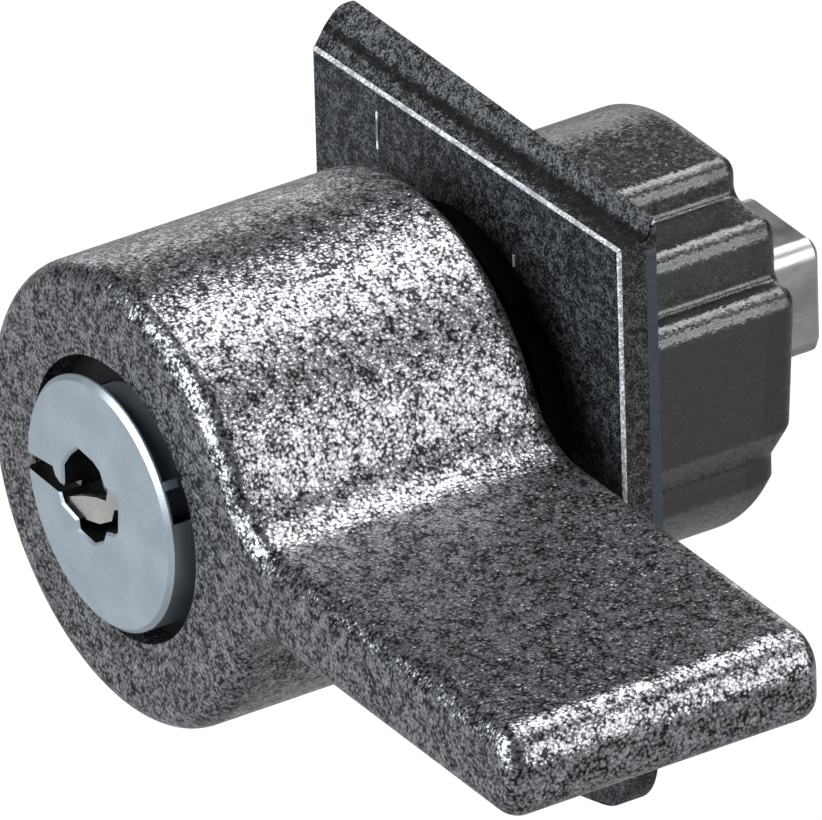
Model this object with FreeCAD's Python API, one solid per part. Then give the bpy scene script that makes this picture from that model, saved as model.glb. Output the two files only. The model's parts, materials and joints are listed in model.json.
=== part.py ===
import FreeCAD, Part
import math
import os
from FreeCAD import Vector

# Key-locking wing knob insert for an enclosure door, in millimetres.
# The lock axis is the Y axis. The door's outer surface is the plane y = 0, the knob stands in front
# of it (negative y), the housing goes through the door (positive y), the wing points along +X and
# +Z is up. Every distance below is measured from the lock axis or from a neighbour's face.

# Clearances shared by all the pieces
SEAT_GAP = 0.02        # pieces that sit fast in one another
RUN_GAP = 0.08         # shafts that turn in bores, per side
FREE_GAP = 0.30        # moving pieces that pass each other

# Door plate, its lip and the gasket behind it
GASKET_T = 0.75
PLATE_T = 2.0
PLATE_HALF_W = 17.4
PLATE_TOP = 17.0       # height of the front edge at the wing side
PLATE_TOP_FALL = 1.35  # how much lower that edge is at the far side
PLATE_DROP = 25.6      # down to the lowest point of the bowed lower edge
PLATE_BOW_R = 55.0
PLATE_CORNER_R = 4.5
PLATE_EDGE_R = 0.25
LIP_RISE = 1.35        # lip above the front edge at the wing side
LIP_FOOT_R = 0.8
LIP_TOP_R = 0.15
LIP_CORNER_R = 1.0
LIP_BROW_DROP = 0.25   # front of the lip's top below its back
FAR_GROOVE_DEPTH = 0.95  # foot of the lip behind the plate's front at the far side
FAR_GROOVE_RISE = 1.1
FAR_LIP_T = 0.6
WING_GROOVE_DEPTH = 2.25
WING_GROOVE_RISE = 0.1
WING_LIP_T = 0.35
LIP_ROOT = 0.8         # how far the lip's section reaches down into the plate
GASKET_TOP = 16.45
GASKET_TOP_R = 0.4
GASKET_DROP = 18.6
GASKET_CORNER_R = 3.0
GASKET_FREE = 0.5      # gap round the housing inside the gasket
INDEX_X = -9.9         # upright index rib on the plate's front
INDEX_Z = 13.1
INDEX_LENGTH = 2.6
DASH_X = 5.5           # short second mark
DASH_Z = 10.9
DASH_LENGTH = 0.8
MARK_W = 0.2
MARK_H = 0.1

# Knob barrel and wing
KNOB_GAP = 3.4         # air between knob and plate
KNOB_DEPTH = 22.6
BARREL_R = 15.1
WING_REACH = 44.9
WING_TOP = 3.8
WING_BOTTOM = -2.4
WING_ROOT_R = 5.0      # hollow fillets between wing and barrel
WING_TIP_TOP_R = 2.4
WING_TIP_BOTTOM_R = 2.2
KNOB_FRONT_R = 1.6
KNOB_REAR_R = 1.3
CYLINDER_BORE_R = 9.3
WEB_T = 2.2
POCKET_DEPTH = 5.15    # rear pocket that takes the neck
POCKET_FREE = 0.5      # gap round the neck in the pocket

# Neck, bushing and housing
NECK_R = 10.2
NECK_BORE_R = 8.3
NECK_FLOOR_FROM_PLATE = 2.05
NUT_T = 1.6
NUT_R = 11.6
NUT_SLOT_W = 2.4
NUT_SLOT_DEPTH = 0.7
NUT_SLOTS = 4
JOURNAL_R = 6.0
BUSH_WALL = 1.1
CAVITY_FRONT_Y = 1.6
CAVITY_R = 8.4
HOUSING_LENGTH = 12.7  # from the door's surface to the cover's rear face
COVER_T = 2.4
COVER_EDGE_R = 1.1

# Housing outline seen along the lock axis
DOME_CENTRE_X = 1.0
DOME_R = 13.9
DOME_END_ANGLE = 222.0
STEP_1_X = 7.3
STEP_2_X = 11.7
STEP_3_X = 13.9
STEP_2_Z = 11.6
STEP_3_Z = 7.7
STEP_R = 1.2
STEP_ROOT_R = 0.4
SIDE_FOOT_X = 13.0
SIDE_FOOT_Z = -2.4
HIP_X = 10.9
HIP_Z = -5.4
FOOT_START_Z = -6.9
FOOT_MID_X = 6.7
FOOT_MID_Z = -11.8
FOOT_HALF_W = 1.8
FOOT_Z = -14.6
FOOT_BULGE = 0.55      # how far the far side of the foot swells out

# Spindle
SQUARE = 8.0
SQUARE_CORNER_R = 1.2
SQUARE_OVERHANG = 7.9  # free length behind the cover
SQUARE_END_CHAMFER = 0.4
HEAD_R = 8.0
PRONG_INNER_X = 5.2
PRONG_OUTER_X = 7.4
PRONG_HALF_H = 2.6
TAPPED_R = 2.1
TAPPED_DEPTH = 12.0
SEAL_GROOVE_R = 5.0
SEAL_GROOVE_W = 1.3
SEAL_GROOVE_Y = -1.8
SEAL_WIRE_R = 0.5

# Stop disc, spring washer, clip and rear sleeve
TURN_DEG = 90.0        # travel of the knob
STOP_PLAY_DEG = 1.0
STOP_T = 2.2
STOP_HUB_R = 6.8
LUG_R = 8.1
LUG_SPAN = 50.0
LUG_ANGLE = 225.0      # at rest, from +X towards +Z
STOP_RIB_SPAN = 25.0
STOP_RIB_INNER_R = 7.2
WASHER_OUTER_R = 7.4
WASHER_INNER_R = 5.8
WASHER_DISH = 0.5
WASHER_T = 0.3
CLIP_GROOVE_R = 4.7
CLIP_T = 0.6
CLIP_R = 7.0
CLIP_MOUTH = 6.4
SLEEVE_R = 6.4

# Cover screws and fixing inserts
SCREW_X = 10.2
SCREW_R = 1.22
SCREW_HEAD_R = 2.0
SCREW_HEAD_T = 1.15
SCREW_HEAD_CHAMFER = 0.29
SCREW_REACH = 7.0      # length below the head
DRIVE_HALF_W = 0.28    # cross recess
DRIVE_HALF_L = 1.2
DRIVE_DEPTH = 0.7
INSERT_Z = 11.0
INSERT_R = 2.0
INSERT_BORE_R = 1.25
INSERT_LENGTH = 6.0
INSERT_WAY_R = 1.7     # hole in the cover over each insert

# Lock cylinder in the knob
FACE_R = 8.3
FACE_PROUD = 1.2
FACE_T = 0.45
FACE_EDGE_CHAMFER = 0.3
SEGMENT_T = 2.75       # solid lower half behind the face
SEGMENT_FROM_DEG = 178.0
SEGMENT_TO_DEG = 375.0
TOOTH_T = 1.0          # small tooth above a square gap in the flange
TOOTH_FROM_DEG = 390.0
TOOTH_TO_DEG = 394.0
CORE_R = 6.9
CORE_RUN = 0.10
CYLINDER_WALL_T = 1.0
CYLINDER_RECESS_T = 0.88
TAIL_R = 3.6
TAIL_GROOVE_R = 3.0
PLUG_CLIP_R = 5.2
PLUG_CLIP_T = 0.55
TAIL_CLEAR = 0.12      # between the plug's tail and the crank
PEG_HALF_W = 1.3
CAM_R = 3.7
CAM_T = 2.05
CRANK = 2.4            # crank radius, also the bolt's throw
CRANK_PIN_R = 1.0

# Keyhole in the plug's face
# Outlines list x and z of each corner: a bell-shaped chamber above, a wavy slot off to the wing side.
KEYHOLE_OUTLINE = [
    (-2.3, 2.9), (-3.3, 1.95), (-4.05, 0.95), (-4.05, -0.3), (-4.45, -1.2), (-4.15, -1.8),
    (-2.5, -2.2), (-2.4, -2.85), (-0.7, -3.05), (0.35, -2.4), (0.7, -1.6), (1.75, -1.3),
    (2.1, -0.9), (2.2, 0.95), (2.05, 1.5), (0.75, 1.5), (0.2, 2.4), (-0.45, 2.7),
]
SHUTTER_BAND = [       # slants across the keyhole
    (-5.5, -2.1), (-2.4, -0.6), (-0.9, 0.0), (0.3, 0.3), (0.75, 2.0), (3.2, 2.0), (3.2, 0.9),
    (1.25, 0.1), (0.9, -0.85), (-0.5, -1.7), (-1.8, -2.05), (-5.5, -2.6),
]
INDEX_NOTCH = [        # runs from the rim to the keyhole's far corner
    (-9.3, -0.1), (-5.2, 0.35), (-4.9, -0.2), (-4.2, -0.5), (-4.2, -1.2), (-9.3, -1.0),
]
KEYHOLE_X = -1.4
KEYHOLE_DEPTH = 3.0
KEYHOLE_CHAMFER = 0.16
KEYWAY_HALF_W = 1.1
KEYWAY_HALF_H = 3.0
KEYWAY_DEPTH = 12.0
SHUTTER_T = 0.5
SHUTTER_SUNK = 0.4     # dust shutter below the plug's face
NOTCH_DEPTH = 1.5      # index groove from the rim to the keyhole

# Wafers
WAFERS = 5
WAFER_PITCH = 2.1
WAFER_T = 0.8
WAFER_FIRST = 3.4      # first wafer behind the face disc
WAFER_HALF_W = 2.6
WAFER_HALF_H = 5.4
WAFER_WINDOW_HALF_W = 1.3
WAFER_WINDOW_HALF_H = 3.3
WAFER_STEP = 0.25      # key cut step between neighbours
WAFER_FREE = 0.1
WAFER_SPRING_R = 0.45
WAFER_SPRING_BORE_R = 0.25
WAFER_SPRING_L = 1.0
CHANNEL_DEPTH = 1.2

# Locking bolt
BOLT_T = 1.8
BOLT_HALF_W = 4.9
BOLT_TIP_HALF_W = 2.5
BOLT_TIP_Z = 7.55
BOLT_SHOULDER_Z = 3.6
BOLT_FOOT_Z = -5.6
BOLT_FREE = 0.2        # between bolt and web
BOLT_NOTCH_FREE = 0.25
CRANK_SLOT_PLAY = 0.12

# Cross pin and grub screw
ROLL_PIN_R = 0.8
ROLL_PIN_BORE_R = 0.3
ROLL_PIN_SUNK = 0.6
ROLL_PIN_INNER_X = 5.4
GRUB_R = 1.5
GRUB_FROM_FRONT = 8.7
GRUB_SUNK = 1.5
GRUB_DIMPLE = 0.5
GRUB_SOCKET_R = 0.8
GRUB_SOCKET_DEPTH = 1.6

# Planes along the lock axis, worked out from the sizes above
PLATE_BACK_Y = -GASKET_T
PLATE_FRONT_Y = PLATE_BACK_Y - PLATE_T
KNOB_REAR_Y = PLATE_FRONT_Y - KNOB_GAP
KNOB_FRONT_Y = KNOB_REAR_Y - KNOB_DEPTH
WEB_REAR_Y = KNOB_REAR_Y - POCKET_DEPTH
WEB_FRONT_Y = WEB_REAR_Y - WEB_T
NECK_FRONT_Y = WEB_REAR_Y + FREE_GAP
NECK_FLOOR_Y = PLATE_FRONT_Y - NECK_FLOOR_FROM_PLATE
POCKET_R = NECK_R + POCKET_FREE
COVER_FRONT_Y = HOUSING_LENGTH - COVER_T
CYLINDER_BACK_Y = WEB_FRONT_Y - SEAT_GAP
CYLINDER_R = CYLINDER_BORE_R - SEAT_GAP
CYLINDER_WALL_Y = CYLINDER_BACK_Y - CYLINDER_RECESS_T
FACE_FRONT_Y = KNOB_FRONT_Y - FACE_PROUD
FACE_BACK_Y = FACE_FRONT_Y + FACE_T
SEGMENT_BACK_Y = FACE_BACK_Y + SEGMENT_T
CYLINDER_FRONT_Y = SEGMENT_BACK_Y + CORE_RUN
CORE_BACK_Y = CYLINDER_WALL_Y - CYLINDER_WALL_T - CORE_RUN
TAIL_BACK_Y = CYLINDER_BACK_Y - CORE_RUN
CAM_FRONT_Y = TAIL_BACK_Y + SEAT_GAP
CAM_BACK_Y = CAM_FRONT_Y + CAM_T
BOLT_FRONT_Y = WEB_REAR_Y + BOLT_FREE
BOLT_BACK_Y = BOLT_FRONT_Y + BOLT_T
HEAD_FRONT_Y = BOLT_BACK_Y + FREE_GAP
HEAD_BACK_Y = NECK_FLOOR_Y - FREE_GAP
CRANK_PIN_BACK_Y = BOLT_BACK_Y + FREE_GAP / 2
PRONG_FRONT_Y = WEB_FRONT_Y + FREE_GAP
BUSH_R = JOURNAL_R + RUN_GAP + BUSH_WALL
STOP_FRONT_Y = CAVITY_FRONT_Y + FREE_GAP
STOP_BACK_Y = STOP_FRONT_Y + STOP_T
CLIP_FRONT_Y = STOP_BACK_Y + WASHER_DISH + WASHER_T + SEAT_GAP
SLEEVE_FRONT_Y = CLIP_FRONT_Y + CLIP_T + SEAT_GAP
SQUARE_END_Y = HOUSING_LENGTH + SQUARE_OVERHANG
LIP_TOP = PLATE_TOP + LIP_RISE
PLATE_TOP_FAR = PLATE_TOP - PLATE_TOP_FALL


def along_y(radius, y_from, y_to, x=0.0, z=0.0):
    """Round bar along the lock axis."""
    return Part.makeCylinder(radius, y_to - y_from, Vector(x, y_from, z), Vector(0, 1, 0))


def ring(outer_r, inner_r, y_from, y_to, x=0.0, z=0.0):
    """Tube along the lock axis."""
    return along_y(outer_r, y_from, y_to, x, z).cut(along_y(inner_r, y_from, y_to, x, z))


def block(x_from, x_to, y_from, y_to, z_from, z_to):
    return Part.makeBox(x_to - x_from, y_to - y_from, z_to - z_from, Vector(x_from, y_from, z_from))


def at(point, y=0.0):
    """A point of an outline seen along the lock axis, put at depth y."""
    return Vector(point[0], y, point[1])


def arc_edge(start, middle, end):
    return Part.Arc(at(start), at(middle), at(end)).toShape()


def line_edge(start, end):
    return Part.LineSegment(at(start), at(end)).toShape()


def polar(radius, degrees, centre=(0.0, 0.0)):
    angle = math.radians(degrees)
    return (centre[0] + radius * math.cos(angle), centre[1] + radius * math.sin(angle))


def corner_arc(before, tip, after, radius):
    """Start, middle and end of the arc that rounds a corner between two straight runs."""
    back = (before - tip).normalize()
    ahead = (after - tip).normalize()
    half_turn = back.getAngle(ahead) / 2
    leg = radius / math.tan(half_turn)
    depth = radius / math.sin(half_turn) - radius
    middle = tip + (back + ahead).normalize() * depth
    return tip + back * leg, middle, tip + ahead * leg


def rounded_run(corners):
    """Edges of an open run of straight lines; each corner is (x, z, radius)."""
    points = [Vector(x, 0, z) for x, z, radius in corners]
    edges = []
    here = points[0]
    for index in range(1, len(corners) - 1):
        start, middle, end = corner_arc(*points[index - 1:index + 2], corners[index][2])
        edges.append(Part.LineSegment(here, start).toShape())
        edges.append(Part.Arc(start, middle, end).toShape())
        here = end
    edges.append(Part.LineSegment(here, points[-1]).toShape())
    return edges


def slab(edges, y_from, y_to):
    """Solid with the outline of the edges between two depths."""
    wire = Part.Wire(Part.__sortEdges__(edges))
    face = Part.Face(wire)
    face.translate(Vector(0, y_from, 0))
    return face.extrude(Vector(0, y_to - y_from, 0))


def sector(inner_r, outer_r, from_deg, to_deg, y_from, y_to):
    """Part of a ring between two angles, counted from +X towards +Z."""
    middle_deg = (from_deg + to_deg) / 2
    edges = [
        arc_edge(polar(outer_r, from_deg), polar(outer_r, middle_deg), polar(outer_r, to_deg)),
        line_edge(polar(outer_r, to_deg), polar(inner_r, to_deg)),
        arc_edge(polar(inner_r, to_deg), polar(inner_r, middle_deg), polar(inner_r, from_deg)),
        line_edge(polar(inner_r, from_deg), polar(outer_r, from_deg)),
    ]
    return slab(edges, y_from, y_to)


def edges_in_plane(shape, y):
    """Edges that lie flat in the plane of one depth."""
    flat = []
    for edge in shape.Edges:
        box = edge.BoundBox
        if abs(box.YMin - y) < 1e-4 and abs(box.YMax - y) < 1e-4:
            flat.append(edge)
    return flat


def square_bar(side, y_from, y_to, corner_r=0.0):
    half = side / 2
    bar = block(-half, half, y_from, y_to, -half, half)
    if corner_r > 0:
        long_edges = [e for e in bar.Edges if e.BoundBox.YLength > (y_to - y_from) / 2]
        bar = bar.makeFillet(corner_r, long_edges)
    return bar


# Door plate and gasket

def lip_section(x, edge_z, groove_depth, groove_rise, lip_t):
    """Wire of the plate's upper end cut across X: slope, hollow foot, lip that laps over the gasket."""
    edge_y = PLATE_FRONT_Y + PLATE_EDGE_R
    low_z = edge_z - LIP_ROOT
    edge = Vector(x, edge_y, edge_z)
    groove = Vector(x, PLATE_FRONT_Y + groove_depth, edge_z + groove_rise)
    brow = Vector(x, -lip_t, LIP_TOP - LIP_BROW_DROP)
    crown = Vector(x, 0, LIP_TOP)
    foot = corner_arc(edge, groove, brow, LIP_FOOT_R)
    top = corner_arc(groove, brow, crown, LIP_TOP_R)
    tail = [
        crown,
        Vector(x, 0, GASKET_TOP + SEAT_GAP),
        Vector(x, PLATE_BACK_Y, GASKET_TOP + SEAT_GAP),
        Vector(x, PLATE_BACK_Y, low_z),
        Vector(x, edge_y, low_z),
        edge,
    ]
    edges = [
        Part.LineSegment(edge, foot[0]).toShape(),
        Part.Arc(*foot).toShape(),
        Part.LineSegment(foot[2], top[0]).toShape(),
        Part.Arc(*top).toShape(),
        Part.LineSegment(top[2], crown).toShape(),
    ]
    for here, there in zip(tail, tail[1:]):
        edges.append(Part.LineSegment(here, there).toShape())
    return Part.Wire(edges)


def make_face_plate():
    w = PLATE_HALF_W
    corner_drop = PLATE_DROP - PLATE_BOW_R + math.sqrt(PLATE_BOW_R ** 2 - w ** 2)
    outline = [
        line_edge((-w, PLATE_TOP_FAR), (w, PLATE_TOP)),
        line_edge((w, PLATE_TOP), (w, -corner_drop)),
        arc_edge((w, -corner_drop), (0.0, -PLATE_DROP), (-w, -corner_drop)),
        line_edge((-w, -corner_drop), (-w, PLATE_TOP_FAR)),
    ]
    plate = slab(outline, PLATE_FRONT_Y, PLATE_BACK_Y)
    lower_corners = [e for e in plate.Edges if e.BoundBox.ZMax < 0 and e.BoundBox.ZLength < 1e-3]
    plate = plate.makeFillet(PLATE_CORNER_R, lower_corners)
    plate = plate.makeFillet(PLATE_EDGE_R, edges_in_plane(plate, PLATE_FRONT_Y))
    far_end = lip_section(-w, PLATE_TOP_FAR, FAR_GROOVE_DEPTH, FAR_GROOVE_RISE, FAR_LIP_T)
    wing_end = lip_section(w, PLATE_TOP, WING_GROOVE_DEPTH, WING_GROOVE_RISE, WING_LIP_T)
    lip = Part.makeLoft([far_end, wing_end], True, True)
    corner_x = -w + LIP_CORNER_R
    corner_z = LIP_TOP - LIP_CORNER_R
    corner = block(-w - 1, corner_x, PLATE_FRONT_Y, 1, corner_z, LIP_TOP + 1)
    corner = corner.cut(along_y(LIP_CORNER_R, PLATE_FRONT_Y, 1, corner_x, corner_z))
    plate = plate.fuse(lip.cut(corner)).removeSplitter()
    plate = plate.cut(along_y(NECK_R + SEAT_GAP, PLATE_FRONT_Y - 1, PLATE_BACK_Y + 1))
    for x, z, length in ((INDEX_X, INDEX_Z, INDEX_LENGTH), (DASH_X, DASH_Z, DASH_LENGTH)):
        mark = block(
            x - MARK_W / 2, x + MARK_W / 2,
            PLATE_FRONT_Y - MARK_H, PLATE_FRONT_Y + MARK_H,
            z - length / 2, z + length / 2,
        )
        plate = plate.fuse(mark)
    return plate.removeSplitter()


def make_door_gasket():
    w = PLATE_HALF_W
    edges = rounded_run([
        (w, 0.0, 0.0),
        (w, -GASKET_DROP, GASKET_CORNER_R),
        (-w, -GASKET_DROP, GASKET_CORNER_R),
        (-w, GASKET_TOP, GASKET_TOP_R),
        (w, GASKET_TOP, GASKET_TOP_R),
        (w, 0.0, 0.0),
    ])
    gasket = slab(edges, -GASKET_T, 0.0)
    opening = Part.Wire(Part.__sortEdges__(housing_outline())).makeOffset2D(GASKET_FREE)
    hole = Part.Face(opening)
    hole.translate(Vector(0, -GASKET_T - 1, 0))
    return gasket.cut(hole.extrude(Vector(0, GASKET_T + 2, 0)))


# Housing behind the door

def housing_outline():
    """Dome on the far side, three steps on the wing side, sloping foot below."""
    centre = (DOME_CENTRE_X, 0.0)
    dome_top = (DOME_CENTRE_X, DOME_R)
    dome_end = polar(DOME_R, DOME_END_ANGLE, centre)
    foot_start = (HIP_X, FOOT_START_Z)
    far_mid_x = (dome_end[0] - FOOT_HALF_W) / 2
    far_mid_z = (dome_end[1] + FOOT_Z) / 2 - FOOT_BULGE
    edges = rounded_run([
        (dome_top[0], dome_top[1], 0.0),
        (STEP_1_X, DOME_R, STEP_R),
        (STEP_1_X, STEP_2_Z, STEP_ROOT_R),
        (STEP_2_X, STEP_2_Z, STEP_R),
        (STEP_2_X, STEP_3_Z, STEP_ROOT_R),
        (STEP_3_X, STEP_3_Z, STEP_R),
        (SIDE_FOOT_X, SIDE_FOOT_Z, STEP_R),
        (HIP_X, HIP_Z, STEP_ROOT_R),
        (foot_start[0], foot_start[1], 0.0),
    ])
    edges.append(arc_edge(foot_start, (FOOT_MID_X, FOOT_MID_Z), (FOOT_HALF_W, FOOT_Z)))
    edges.append(line_edge((FOOT_HALF_W, FOOT_Z), (-FOOT_HALF_W, FOOT_Z)))
    edges.append(arc_edge((-FOOT_HALF_W, FOOT_Z), (far_mid_x, far_mid_z), dome_end))
    edges.append(arc_edge(dome_end, polar(DOME_R, 180.0, centre), dome_top))
    return edges


def stop_rib(from_deg):
    return sector(
        STOP_RIB_INNER_R, CAVITY_R + 1, from_deg, from_deg + STOP_RIB_SPAN,
        CAVITY_FRONT_Y, STOP_BACK_Y,
    )


def make_rear_housing():
    housing = slab(housing_outline(), PLATE_BACK_Y, COVER_FRONT_Y)
    housing = housing.fuse(along_y(NECK_R, NECK_FRONT_Y, PLATE_BACK_Y)).removeSplitter()
    housing = housing.cut(along_y(NECK_BORE_R, NECK_FRONT_Y - 1, NECK_FLOOR_Y))
    housing = housing.cut(along_y(BUSH_R + SEAT_GAP, NECK_FLOOR_Y - 1, CAVITY_FRONT_Y + 1))
    lug_high = LUG_ANGLE + LUG_SPAN / 2 + STOP_PLAY_DEG
    lug_low = LUG_ANGLE - LUG_SPAN / 2 - TURN_DEG - STOP_PLAY_DEG
    cavity = along_y(CAVITY_R, CAVITY_FRONT_Y, COVER_FRONT_Y + 1)
    cavity = cavity.cut(stop_rib(lug_high))
    cavity = cavity.cut(stop_rib(lug_low - STOP_RIB_SPAN))
    housing = housing.cut(cavity)
    notch_w = BOLT_TIP_HALF_W + BOLT_NOTCH_FREE
    notch_back_y = BOLT_BACK_Y + BOLT_NOTCH_FREE
    upper_notch = block(-notch_w, notch_w, NECK_FRONT_Y - 1, notch_back_y, 0, NECK_R + 1)
    side_notch = block(0, NECK_R + 1, NECK_FRONT_Y - 1, notch_back_y, -notch_w, notch_w)
    housing = housing.cut(upper_notch).cut(side_notch)
    screw_end_y = COVER_FRONT_Y - SCREW_REACH
    for side in (-1, 1):
        pilot = along_y(SCREW_R + SEAT_GAP, screw_end_y, COVER_FRONT_Y + 1, x=side * SCREW_X)
        insert_y = COVER_FRONT_Y - INSERT_LENGTH - SEAT_GAP
        seat = along_y(INSERT_R + SEAT_GAP, insert_y, COVER_FRONT_Y + 1, z=side * INSERT_Z)
        housing = housing.cut(pilot).cut(seat)
    return housing


def make_rear_cover():
    cover = slab(housing_outline(), COVER_FRONT_Y, HOUSING_LENGTH)
    cover = cover.makeFillet(COVER_EDGE_R, edges_in_plane(cover, HOUSING_LENGTH))
    cover = cover.cut(along_y(SLEEVE_R + RUN_GAP, COVER_FRONT_Y - 1, HOUSING_LENGTH + 1))
    for side in (-1, 1):
        x = side * SCREW_X
        way = along_y(SCREW_R + RUN_GAP, COVER_FRONT_Y - 1, HOUSING_LENGTH + 1, x=x)
        head_y = HOUSING_LENGTH - SCREW_HEAD_T
        sink = along_y(SCREW_HEAD_R + RUN_GAP, head_y, HOUSING_LENGTH + 1, x=x)
        insert_way = along_y(INSERT_WAY_R, COVER_FRONT_Y - 1, HOUSING_LENGTH + 1, z=side * INSERT_Z)
        cover = cover.cut(way).cut(sink).cut(insert_way)
    return cover


def make_cover_screw(x):
    head_y = HOUSING_LENGTH - SCREW_HEAD_T
    screw = along_y(SCREW_HEAD_R, head_y, HOUSING_LENGTH, x=x)
    screw = screw.makeChamfer(SCREW_HEAD_CHAMFER, edges_in_plane(screw, HOUSING_LENGTH))
    tip_y = COVER_FRONT_Y - SCREW_REACH + FREE_GAP
    screw = screw.fuse(along_y(SCREW_R, tip_y, head_y, x=x)).removeSplitter()
    recess_y = HOUSING_LENGTH - DRIVE_DEPTH
    across = block(
        x - DRIVE_HALF_L, x + DRIVE_HALF_L, recess_y, HOUSING_LENGTH + 1, -DRIVE_HALF_W, DRIVE_HALF_W)
    upright = block(
        x - DRIVE_HALF_W, x + DRIVE_HALF_W, recess_y, HOUSING_LENGTH + 1, -DRIVE_HALF_L, DRIVE_HALF_L)
    return screw.cut(across).cut(upright)


def make_cover_screws():
    return Part.makeCompound([make_cover_screw(-SCREW_X), make_cover_screw(SCREW_X)])


def make_fixing_inserts():
    inserts = []
    for side in (-1, 1):
        front_y = COVER_FRONT_Y - INSERT_LENGTH
        inserts.append(ring(INSERT_R, INSERT_BORE_R, front_y, COVER_FRONT_Y, z=side * INSERT_Z))
    return Part.makeCompound(inserts)


def make_neck_nut():
    nut = ring(NUT_R, NECK_R + SEAT_GAP, PLATE_FRONT_Y - NUT_T, PLATE_FRONT_Y)
    half = NUT_SLOT_W / 2
    slot = block(
        NUT_R - NUT_SLOT_DEPTH, NUT_R + 1, PLATE_FRONT_Y - NUT_T - 1, PLATE_FRONT_Y + 1, -half, half)
    for index in range(NUT_SLOTS):
        turned = slot.copy()
        turned.rotate(Vector(0, 0, 0), Vector(0, 1, 0), (index + 0.5) * 360 / NUT_SLOTS)
        nut = nut.cut(turned)
    return nut


def make_front_bush():
    return ring(BUSH_R, JOURNAL_R + RUN_GAP, NECK_FLOOR_Y, CAVITY_FRONT_Y)


# Knob

def knob_outline():
    """Round barrel that flows through hollow fillets into the wing."""
    reach = BARREL_R + WING_ROOT_R
    top_z = WING_TOP + WING_ROOT_R
    top_x = math.sqrt(reach ** 2 - top_z ** 2)
    low_z = WING_BOTTOM - WING_ROOT_R
    low_x = math.sqrt(reach ** 2 - low_z ** 2)
    share = BARREL_R / reach
    top_on_barrel = (top_x * share, top_z * share)
    low_on_barrel = (low_x * share, low_z * share)
    top_angle = math.degrees(math.atan2(top_z, top_x)) + 180
    low_angle = math.degrees(math.atan2(low_z, low_x)) + 180
    top_mid = polar(WING_ROOT_R, (top_angle + 270) / 2, (top_x, top_z))
    low_mid = polar(WING_ROOT_R, (low_angle + 90) / 2, (low_x, low_z))
    edges = rounded_run([
        (top_x, WING_TOP, 0.0),
        (WING_REACH, WING_TOP, WING_TIP_TOP_R),
        (WING_REACH, WING_BOTTOM, WING_TIP_BOTTOM_R),
        (low_x, WING_BOTTOM, 0.0),
    ])
    edges.append(arc_edge((low_x, WING_BOTTOM), low_mid, low_on_barrel))
    edges.append(arc_edge(low_on_barrel, (-BARREL_R, 0.0), top_on_barrel))
    edges.append(arc_edge(top_on_barrel, top_mid, (top_x, WING_TOP)))
    return edges


def prong_slot(x_from, x_to, grow):
    return block(
        x_from - grow, x_to + grow, WEB_FRONT_Y - 1, WEB_REAR_Y + 1,
        -PRONG_HALF_H - grow, PRONG_HALF_H + grow,
    )


def make_knob_handle():
    knob = slab(knob_outline(), KNOB_FRONT_Y, KNOB_REAR_Y)
    knob = knob.makeFillet(KNOB_FRONT_R, edges_in_plane(knob, KNOB_FRONT_Y))
    knob = knob.makeFillet(KNOB_REAR_R, edges_in_plane(knob, KNOB_REAR_Y))
    knob = knob.cut(along_y(CYLINDER_BORE_R, KNOB_FRONT_Y - 1, WEB_FRONT_Y))
    knob = knob.cut(along_y(POCKET_R, WEB_REAR_Y, KNOB_REAR_Y + 1))
    knob = knob.cut(along_y(CAM_R + FREE_GAP, WEB_FRONT_Y - 1, WEB_REAR_Y + 1))
    knob = knob.cut(prong_slot(PRONG_INNER_X, PRONG_OUTER_X, SEAT_GAP))
    knob = knob.cut(prong_slot(-PRONG_OUTER_X, -PRONG_INNER_X, SEAT_GAP))
    knob = knob.cut(cross_hole(ROLL_PIN_R + SEAT_GAP))
    return knob.cut(grub_hole(GRUB_R + SEAT_GAP))


def cross_hole(radius):
    """Hole for the pin that ties the spindle to the knob, open on the far side of the barrel."""
    pin_y = (WEB_FRONT_Y + WEB_REAR_Y) / 2
    length = BARREL_R + 1 - PRONG_INNER_X
    return Part.makeCylinder(radius, length, Vector(-BARREL_R - 1, pin_y, 0), Vector(1, 0, 0))


def grub_hole(radius):
    """Hole for the grub screw, open below and ending in the lock cylinder's dimple."""
    start = Vector(0, KNOB_FRONT_Y + GRUB_FROM_FRONT, -BARREL_R - 1)
    length = BARREL_R + 1 - CYLINDER_R + GRUB_DIMPLE
    return Part.makeCylinder(radius, length, start, Vector(0, 0, 1))


def make_roll_pin():
    pin_y = (WEB_FRONT_Y + WEB_REAR_Y) / 2
    outer_x = -BARREL_R + ROLL_PIN_SUNK
    start = Vector(outer_x, pin_y, 0)
    length = -ROLL_PIN_INNER_X - outer_x
    pin = Part.makeCylinder(ROLL_PIN_R, length, start, Vector(1, 0, 0))
    bore = Part.makeCylinder(ROLL_PIN_BORE_R, length, start, Vector(1, 0, 0))
    return pin.cut(bore)


def make_grub_screw():
    grub_y = KNOB_FRONT_Y + GRUB_FROM_FRONT
    low_z = -BARREL_R + GRUB_SUNK
    high_z = -CYLINDER_R + GRUB_DIMPLE - SEAT_GAP
    grub = Part.makeCylinder(GRUB_R, high_z - low_z, Vector(0, grub_y, low_z), Vector(0, 0, 1))
    hexagon = [polar(GRUB_SOCKET_R, 60 * corner) for corner in range(7)]
    points = [Vector(x, grub_y + y, low_z) for x, y in hexagon]
    socket = Part.Face(Part.makePolygon(points)).extrude(Vector(0, 0, GRUB_SOCKET_DEPTH))
    return grub.cut(socket)


# Spindle and what rides on it

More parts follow.
